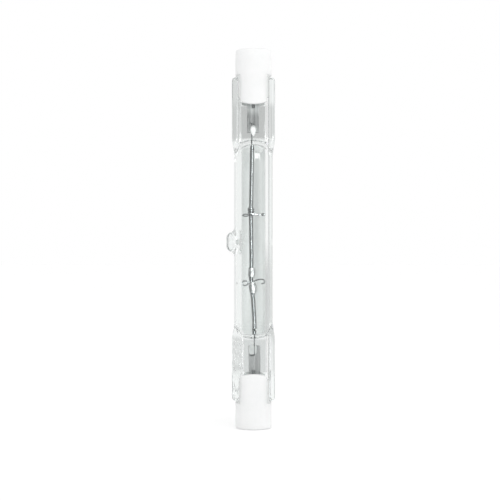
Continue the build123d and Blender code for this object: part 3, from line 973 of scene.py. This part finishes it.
# drawn, coiled and fired tungsten: smooth dark grey metal with a sharp glint
tungsten, tree, shader, place = new_material("tungsten_wire_coiled_and_fired")
burn = add(tree, "ShaderNodeTexNoise", {"Vector": place, "Scale": cycles_for(BURN_PATCH), "Detail": 3.0})
tungsten_grey = add(tree, "ShaderNodeValToRGB", {"Fac": burn.outputs["Fac"]},
                    [(0.3, "#7A7D7E"), (0.7, "#8A8D8E")])
set_inputs(tree, shader, {"Base Color": tungsten_grey.outputs["Color"], "Metallic": 1.0, "Roughness": 0.25})
print(tungsten.name, "has", len(tree.nodes), "nodes")

# %% [markdown]
# ## Coil
# The coil hangs a little slack between its ends. Its turns of 0.13 mm wire lie 0.17 mm apart, finer than in
# the CAD source and too close to tell apart from where the camera stands, but they give the coil its dark
# edges and its paler middle. A few knots give its sideways path, and a running mean eases the corners.

# %% Coil
COIL_END = 20.4
COIL_RADIUS = 0.47
COIL_WIRE = 0.13
COIL_PITCH = 0.17
COIL_STEPS = 16
COIL_EASE = 1.2
COIL_Y = 0.19
COIL_KNOT_HEIGHTS = [COIL_END, 22.4, 26.5, 31.0, 34.4, 39.0, 44.2, 55.6, LENGTH - COIL_END]
COIL_KNOT_PLACES = [0.22, 0.18, -0.08, -0.56, -0.42, -0.46, -0.53, -0.32, -0.3]


def coil_axis(z):
    """Sideways place of the slack coil at a height, eased between its knots."""
    nearby = np.linspace(-COIL_EASE, COIL_EASE, 9)
    return np.mean([np.interp(z + d, COIL_KNOT_HEIGHTS, COIL_KNOT_PLACES) for d in nearby], 0)


coil_turns = (LENGTH - 2 * COIL_END) / COIL_PITCH
coil_angle = np.linspace(0, 2 * math.pi * coil_turns, round(COIL_STEPS * coil_turns))
coil_level = COIL_END + COIL_PITCH * coil_angle / (2 * math.pi)
coil_reach = COIL_RADIUS - COIL_WIRE / 2
coil_x = coil_axis(coil_level) + coil_reach * np.cos(coil_angle)
coil_path = np.c_[coil_x, COIL_Y + coil_reach * np.sin(coil_angle), coil_level]
piece("filament_coil", [wire(coil_path, COIL_WIRE)], [tungsten], "filament")

# %% [markdown]
# ## Tungsten with painted glints
# The lower support has a close winding that looks white against the dark coil. It is rough, so it scatters
# the light to all sides, and its colour is laid in pale and dark patches a quarter of a millimetre wide, the
# pale ones painted glints.

# %% Material of the bright winding
GLINT_PATCH = 0.25
# wound tungsten: rough and dull, with pale patches as painted glints, so it looks white under a strong light
tungsten_with_painted_glints, tree, shader, place = new_material("tungsten_wire_wound_with_painted_glints")
glint_patches = add(tree, "ShaderNodeTexNoise", {
    "Vector": place, "Scale": cycles_for(GLINT_PATCH), "Detail": 3.0})
painted_glint_grey = add(tree, "ShaderNodeValToRGB", {"Fac": glint_patches.outputs["Fac"]},
                  [(0.4, "#4C4E4E"), (0.6, "#B4B6B6")])
set_inputs(tree, shader, {"Base Color": painted_glint_grey.outputs["Color"], "Metallic": 1.0, "Roughness": 0.5})
print(tungsten_with_painted_glints.name, "has", len(tree.nodes), "nodes")

# %% [markdown]
# ## Bends of a support
# Two supports keep the coil off the hot wall. Each is thin tungsten wire that is wound round the coil, with
# ends bent out into eyes and hooks that rest against the bore. Three small functions give the points of
# such wires: a bend through a few corner points whose corners are cut off three times over, an oval eye, and
# a winding that may stand a little loose on the right.

# %% Bends, eyes and windings
CUTS = 3
EYE_DEPTH = 0.25
EYE_STEPS = 17
WINDING_STEPS = 20


def rounded_path(points):
    """Points of a bent wire, with its corners cut off three times."""
    for _ in range(CUTS):
        cut = np.stack([0.75 * points[:-1] + 0.25 * points[1:], 0.25 * points[:-1] + 0.75 * points[1:]], 1)
        points = np.concatenate([points[:1], cut.reshape(-1, 3), points[-1:]])
    return points


def eye(centre, half_width, half_height, start, end, lean):
    """Points of an oval eye between two angles in degrees, its right side leaning to the front."""
    angle = np.radians(np.linspace(start, end, EYE_STEPS))
    across = half_width * np.cos(angle)
    depth = EYE_DEPTH * np.sin(angle / 2) - lean * across
    return np.array(centre) + np.c_[across, depth, half_height * np.sin(angle)]


def winding(top, start, turns, pitch, bulge, inner):
    """Turns round the coil, down from a height and from a share of a turn, looser by the bulge."""
    share = np.linspace(0, 1, round(WINDING_STEPS * turns))
    angle = 2 * math.pi * (start + turns * share)
    height = top - pitch * turns * share
    loose = bulge * (0.4 + 0.6 * np.sin(math.pi * share))
    radius = inner + loose
    x = coil_axis(height) + loose - radius * np.cos(angle)
    return np.c_[x, COIL_Y - radius * np.sin(angle), height]


print("one turn of a winding has", len(winding(30, 0, 1, 0.3, 0, 0.6)), "points")

# %% [markdown]
# ## Filament supports
# The lower support is wound closely above and below its two arms, in finer bright wire. Its left arm ends
# in an eye and its right arm in a hook. Each arm passes behind the coil before it meets the winding.

# %% Lower support
SUPPORT_WIRE = 0.28
BRIGHT_WIRE = 0.17
BRIGHT_RADIUS = 0.55
lower_wound = np.concatenate([
    winding(top=33.2, start=-0.25, turns=8, pitch=0.25, bulge=0.16, inner=BRIGHT_RADIUS),
    winding(top=30.2, start=-0.25, turns=9, pitch=0.24, bulge=0.26, inner=BRIGHT_RADIUS),
])
lower_left = np.concatenate([
    eye((-1.79, -0.3, 30.02), half_width=0.66, half_height=0.48, start=380, end=20, lean=0.25),
    [(-0.6, 0.85, 30.3), (-0.5, 0.85, 32.6)],
    lower_wound[:1],
])
lower_right = rounded_path(np.array([
    lower_wound[-1], (-0.35, 0.85, 28.7), (-0.5, 0.85, 29.9), (0.0, 0.95, 30.35), (0.7, 0.8, 30.7),
    (1.8, 0.1, 30.9), (2.3, -0.35, 30.6), (2.25, -0.8, 30.1), (1.5, -1.3, 29.95),
]))
lower_arms = [wire(arm, SUPPORT_WIRE) for arm in (lower_left, lower_right)]
piece("lower_filament_support_wire", [lower_arms[0], wire(lower_wound, BRIGHT_WIRE), lower_arms[1]],
      [tungsten, tungsten_with_painted_glints, tungsten], "lower_filament_support")

# %% [markdown]
# The upper support is one dark wire. It takes two and a half open turns round the coil, from a flat eye on
# the left to a small curl on the right.

# %% Upper support
OPEN_RADIUS = 0.62
upper_support = np.concatenate([
    eye((-1.60, -0.3, 44.1), half_width=0.74, half_height=0.21, start=380, end=20, lean=0.2),
    winding(top=45.6, start=0, turns=2.5, pitch=0.5, bulge=0, inner=OPEN_RADIUS),
    rounded_path(np.array([(-0.3, -0.62, 44.3), (0.8, -0.43, 44.25), (1.3, -0.5, 44.2)])),
    eye((1.88, -0.8, 44.2), half_width=0.20, half_height=0.20, start=180, end=-270, lean=1.2),
])
piece("upper_filament_support_wire", [wire(upper_support, SUPPORT_WIRE)], [tungsten],
      "upper_filament_support")

# %% [markdown]
# ## Molybdenum wire
# Current runs from the contact through a molybdenum wire, a thin molybdenum foil that the quartz can grip,
# and a second wire into the coil. The wire is drawn, and the heat of sealing oxidises it a little, which
# mottles its grey over half a millimetre.

# %% Material of the leads
OXIDE_PATCH = 0.5
# drawn molybdenum wire: satin grey metal, lighter and darker in patches
molybdenum_wire, tree, shader, place = new_material("molybdenum_wire_drawn")
oxide = add(tree, "ShaderNodeTexNoise", {"Vector": place, "Scale": cycles_for(OXIDE_PATCH), "Detail": 3.0})
lead_grey = add(tree, "ShaderNodeValToRGB", {"Fac": oxide.outputs["Fac"]},
                [(0.35, "#6A6D6D"), (0.65, "#8E9191")])
set_inputs(tree, shader, {"Base Color": lead_grey.outputs["Color"], "Metallic": 1.0, "Roughness": 0.4})
print(molybdenum_wire.name, "has", len(tree.nodes), "nodes")

# %% [markdown]
# ## Leads
# The inner lead runs into the end of the coil and has a short bent foot that is welded to the foil. The bend
# is a quarter circle. The outer lead comes from the contact and ends on the foil as well. Both are built at
# the lower end, and the upper pair is mirrored, with its own place across the bulb and its own foot.

# %% Leads
LEAD_X = {"lower": 0.2, "upper": -0.32}
FOOT_LENGTH = {"lower": 0.95, "upper": 0.35}
INNER_LEAD_WIRE = 0.26
INNER_LEAD_END = 22.1
FOOT_LEVEL = 15.05
FOOT_BEND = 0.25
OUTER_LEAD_WIRE = 0.7
OUTER_LEAD_PATH = np.array([(0, 0, 3.3), (0, 0, 9.3), (0, 0.02, 12.0)])

for end, lead_x in LEAD_X.items():
    turn = np.linspace(0, math.pi / 2, 7)
    bend_x = lead_x - FOOT_BEND + FOOT_BEND * np.cos(turn)
    bend = np.c_[bend_x, 0 * turn + COIL_Y, FOOT_LEVEL + FOOT_BEND - FOOT_BEND * np.sin(turn)]
    foot_end = (lead_x - FOOT_LENGTH[end], COIL_Y, FOOT_LEVEL)
    inner_path = np.concatenate([[(lead_x, COIL_Y, INNER_LEAD_END)], bend, [foot_end]])
    inner_lead = wire(inner_path, INNER_LEAD_WIRE)
    outer_lead = wire(OUTER_LEAD_PATH, OUTER_LEAD_WIRE)
    if end == "upper":
        inner_lead = at_upper_end(inner_lead)
        outer_lead = at_upper_end(outer_lead)
    piece(end + "_inner_lead_wire", [inner_lead], [molybdenum_wire], end + "_inner_lead")
    piece(end + "_outer_lead_wire", [outer_lead], [molybdenum_wire], end + "_outer_lead")

# %% [markdown]
# ## Molybdenum foil
# The foil is rolled, and rolling leaves lines along it about a tenth of a millimetre apart. They are drawn
# three times as far apart, so that they show. Painted shade dims it up the bulb: the lower foil a little all
# over, and the upper one most in a band near its inner lead.

# %% Material of the foils
ROLLING_LINE = 0.3
ROLLING_SQUEEZE = 0.03
FOIL_PAINTED_SHADE = [
    (54.81, "#DCDCDC"), (61.47, "#D8D8D8"), (62.64, "#C2C2C2"), (64.68, "#C2C2C2"), (66.01, WHITE)]
# rolled molybdenum foil: pale grey metal with lines along it, darker in painted shade
molybdenum_foil, tree, shader, place = new_material("molybdenum_foil_rolled")
line_place = add(tree, "ShaderNodeMapping", {"Vector": place, "Scale": (1.0, 1.0, ROLLING_SQUEEZE)})
lines = add(tree, "ShaderNodeTexNoise", {
    "Vector": line_place.outputs["Vector"], "Scale": cycles_for(ROLLING_LINE), "Detail": 4.0})
rolled_grey = add(tree, "ShaderNodeValToRGB", {"Fac": lines.outputs["Fac"]},
                  [(0.3, "#B6B8B8"), (0.7, "#DEE0E0")])
foil_height = add(tree, "ShaderNodeSeparateXYZ", {"Vector": place}).outputs["Z"]
up_foil = add(tree, "ShaderNodeMapRange", {"Value": foil_height, "From Max": LENGTH * MM})
foil_shade_up = add(tree, "ShaderNodeValToRGB", {"Fac": up_foil.outputs["Result"]},
                stops_between(0, LENGTH, FOIL_PAINTED_SHADE))
foil_grey = add(tree, "ShaderNodeMix", {
    "Factor": 1.0, "A": rolled_grey.outputs["Color"], "B": foil_shade_up.outputs["Color"],
}, data_type="RGBA", blend_type="MULTIPLY")
line_bump = add(tree, "ShaderNodeBump", {
    "Height": lines.outputs["Fac"], "Strength": 0.4, "Distance": 0.02 * MM})
set_inputs(tree, shader, {
    "Base Color": foil_grey.outputs["Result"], "Normal": line_bump.outputs["Normal"],
    "Metallic": 1.0, "Roughness": 0.45})
print(molybdenum_foil.name, "has", len(tree.nodes), "nodes")

# %% [markdown]
# ## Sealing foils
# A sealing foil is a twentieth of a millimetre thick, and its long edges are etched thinner still, so that
# the quartz doesn't crack there. It is built as a closed sheet: a front and a back that meet at thin edges,
# with the faint waves that the jaws press into it. It follows its lead a little to one side.

# %% Sealing foils
FOIL_Y = 0.325
FOIL_HALF_WIDTH = 1.22
FOIL_HALF_THICKNESS = 0.025
FOIL_OUTER_END = 9.4
FOIL_INNER_END = 17.1
FOIL_FOLLOW = 0.6
FOIL_SHIFT = 0.06
THINNEST_EDGE = 0.03


def foil_sheet(middle_x):
    """Closed sheet of the lower foil with feathered long edges."""
    columns = np.linspace(-1, 1, 25)
    rows = np.linspace(FOIL_OUTER_END, FOIL_INNER_END, 41)
    across, along = np.meshgrid(columns, rows, indexing="ij")
    half = FOIL_HALF_THICKNESS * np.sqrt(np.maximum(1 - across**2, THINNEST_EDGE))
    wave = 0.02 * np.sin(4.0 * across + 0.5 * along) + 0.015 * np.sin(9.0 * across + 1.0)
    x = middle_x + FOIL_HALF_WIDTH * across
    front = np.stack([x, FOIL_Y + wave - half, along], -1).reshape(-1, 3)
    back = np.stack([x, FOIL_Y + wave + half, along], -1).reshape(-1, 3)
    number = np.arange(across.size).reshape(across.shape)
    corners = (number[:-1, :-1], number[1:, :-1], number[1:, 1:], number[:-1, 1:])
    sheet = np.stack([corner.ravel() for corner in corners], 1)
    rim = np.concatenate([number[:, 0], number[-1, 1:], number[-2::-1, -1], number[0, -2:0:-1]])
    after = np.roll(rim, -1)
    edges = np.stack([after, rim, rim + across.size, after + across.size], 1)
    faces = np.concatenate([sheet, sheet[:, ::-1] + across.size, edges])
    return np.concatenate([front, back]), faces.tolist()


for end, lead_x in LEAD_X.items():
    foil = foil_sheet(FOIL_FOLLOW * lead_x + FOIL_SHIFT)
    foil = at_upper_end(foil) if end == "upper" else foil
    piece(end + "_foil_sheet", [foil], [molybdenum_foil], end + "_foil")

# %% [markdown]
# ## Contacts
# The contacts keep their CAD shape: small turned pins that are seen only from the ends. Nickel plating gives
# them a warm grey shine over the rings that the lathe left. Real rings are far finer. The wave node turns
# by 20 radians per unit, so 0.2 mm per radian draws them 1.26 mm apart, which still shows.

# %% Material of the contacts
RING_RADIAN = 0.2
WAVE_RADIANS = 20
# turned and plated nickel: warm bright grey metal with soft rings
nickel, tree, shader, place = new_material("nickel_turned_and_plated")
rings = add(tree, "ShaderNodeTexWave", {
    "Vector": place, "Scale": cycles_for(RING_RADIAN) / WAVE_RADIANS, "Distortion": 1.0,
}, wave_type="RINGS", rings_direction="Z")
nickel_grey = add(tree, "ShaderNodeValToRGB", {"Fac": rings.outputs["Fac"]},
                  [(0.0, "#A9A59C"), (1.0, "#C9C5BB")])
ring_bump = add(tree, "ShaderNodeBump", {
    "Height": rings.outputs["Fac"], "Strength": 0.2, "Distance": 0.02 * MM})
set_inputs(tree, shader, {
    "Base Color": nickel_grey.outputs["Color"], "Normal": ring_bump.outputs["Normal"],
    "Metallic": 1.0, "Roughness": 0.3})
for name in ("lower_contact", "upper_contact"):
    for material_slot in bpy.data.objects[name].material_slots:
        material_slot.material = nickel
print(nickel.name, "is on both contacts")

# %% [markdown]
# ## White surroundings
# The bulb stands before a white sweep. A white world does the same without an edge. The camera, mirror
# reflections and rays through the glass see it at full white. Diffuse rays, which carry its light onto matt
# surfaces, see it a little weaker, so that the lamps can still shape the caps.

# %% World
SWEEP_WHITE = 1.0
SWEEP_LIGHT = 0.85
world = bpy.data.worlds.new("white_sweep")
bpy.context.scene.world = world
world.use_nodes = True
tree = world.node_tree
tree.nodes.clear()
world_ray = add(tree, "ShaderNodeLightPath")
sweep_strength = add(tree, "ShaderNodeMapRange", {
    "Value": world_ray.outputs["Is Diffuse Ray"], "To Min": SWEEP_WHITE, "To Max": SWEEP_LIGHT})
sweep = add(tree, "ShaderNodeBackground", {
    "Color": linear(WHITE), "Strength": sweep_strength.outputs["Result"]})
add(tree, "ShaderNodeOutputWorld", {"Surface": sweep.outputs["Background"]})
print("world is", SWEEP_WHITE, "to the eye and", SWEEP_LIGHT, "as a light")

# %% [markdown]
# The floor is matt white paper with faint clouds of fibre. It comes out a shade under white, so it glows a
# little for rays from the camera, in mirrors and through glass. Diffuse rays see no glow, so it puts no more
# light on the bulb.

# %% Floor
FIBRE_CLOUD = 3.0
PAPER_GLOW = 0.2
FLOOR_HALF = 3
# pressed white paper: matt, with clouds a few millimetres wide
paper, tree, shader, place = new_material("white_paper_sweep")
fibre = add(tree, "ShaderNodeTexNoise", {"Vector": place, "Scale": cycles_for(FIBRE_CLOUD), "Detail": 2.0})
paper_white = add(tree, "ShaderNodeValToRGB", {"Fac": fibre.outputs["Fac"]},
                  [(0.3, "#F4F4F4"), (0.7, "#F8F8F8")])
floor_ray = add(tree, "ShaderNodeLightPath")
paper_glow = add(tree, "ShaderNodeMapRange", {
    "Value": floor_ray.outputs["Is Diffuse Ray"], "To Min": PAPER_GLOW, "To Max": 0.0})
set_inputs(tree, shader, {
    "Base Color": paper_white.outputs["Color"], "Roughness": 0.9,
    "Emission Color": linear(WHITE), "Emission Strength": paper_glow.outputs["Result"]})
floor_corners = [(x * FLOOR_HALF, y * FLOOR_HALF, 0) for x, y in ((-1, -1), (1, -1), (1, 1), (-1, 1))]
floor_mesh = bpy.data.meshes.new("floor")
floor_mesh.from_pydata(floor_corners, [], [(0, 1, 2, 3)])
floor_mesh.materials.append(paper)
floor = bpy.data.objects.new("floor", floor_mesh)
bpy.context.scene.collection.objects.link(floor)
print("floor of", 2 * FLOOR_HALF, "m")

# %% [markdown]
# ## Lamps
# Soft light comes from the front and the right. The key softbox stands high, so that its mirror image stays
# off the upper press. The glint softbox is lower and thin: it puts one short bright mark on the tube under
# the upper shoulder. Side and fill softboxes round off the caps. Every lamp faces the middle of the bulb.

# %% Lamps
def softbox(name, stand, width, height, watts):
    """An area lamp that faces the middle of the bulb, with its place and size in metres."""
    lamp = bpy.data.lights.new(name, "AREA")
    lamp.shape = "RECTANGLE"
    lamp.size = width
    lamp.size_y = height
    lamp.energy = watts
    holder = bpy.data.objects.new(name, lamp)
    holder.location = stand
    aim = holder.location.copy()
    aim.z -= MIDDLE * MM
    holder.rotation_euler = aim.to_track_quat("Z", "Y").to_euler()
    bpy.context.scene.collection.objects.link(holder)
    return holder


lamps = [
    softbox("key_softbox", (0.163, -0.383, 0.30), width=0.25, height=0.1, watts=0.18),
    softbox("glint_softbox", (0.163, -0.383, 0.092), width=0.25, height=0.012, watts=0.08),
    softbox("side_softbox", (0.34, -0.22, 0.035), width=0.2, height=0.1, watts=0.115),
    softbox("fill_softbox", (-0.28, -0.30, 0.03), width=0.2, height=0.1, watts=0.065),
    softbox("strip_light", (0.14, -0.40, 0.20), width=0.12, height=0.4, watts=28.0),
]
print("lamps:", [lamp.name for lamp in lamps])

# %% [markdown]
# Two links make the lamps fit for glass. A path tracer brings lamp light through clear glass only by chance,
# so the glass is left out of what blocks the lamps, and their light reaches the wires. Thin dark wires also
# mirror very little of a lamp, so the strong strip light is linked to the tungsten pieces alone.

# %% What the lamps light
shadow_casters = bpy.data.collections.new("pieces_that_cast_shadows")
tungsten_pieces = bpy.data.collections.new("tungsten_pieces")
for shape in list(bpy.context.scene.objects):
    if shape.type == "MESH" and shape != envelope:
        shadow_casters.objects.link(shape)
for shape in shadow_casters.objects:
    if shape.name.endswith(("_coil", "_support_wire")):
        tungsten_pieces.objects.link(shape)
for lamp in lamps:
    lamp.light_linking.blocker_collection = shadow_casters
lamps[-1].light_linking.receiver_collection = tungsten_pieces

# %% [markdown]
# ## Camera
# The camera looks straight at the broad faces of the presses, nearly level with the middle of the bulb, from
# about a quarter of a metre. One millimetre at the bulb's axis is about 4.8 of the picture's 500 pixels,
# and the bulb stands a little right of the middle and above it. Clear walls one behind the other need many
# bounces, so the limits on bounces are raised.

# %% Camera
CAMERA_PLACE = (-0.72 * MM, -260 * MM, 36.9 * MM)
camera = bpy.data.cameras.new("camera")
camera.lens = 90.2
camera.sensor_width = 36.0
camera.clip_start = 0.01
viewpoint = bpy.data.objects.new("camera", camera)
viewpoint.location = CAMERA_PLACE
viewpoint.rotation_euler = (math.pi / 2, 0, 0)
bpy.context.scene.collection.objects.link(viewpoint)
bpy.context.scene.camera = viewpoint
bpy.context.scene.view_settings.view_transform = "Standard"
bpy.context.scene.cycles.max_bounces = 32
bpy.context.scene.cycles.glossy_bounces = 24
bpy.context.scene.cycles.transmission_bounces = 32
print("camera", [round(c / MM, 1) for c in viewpoint.location], "mm")
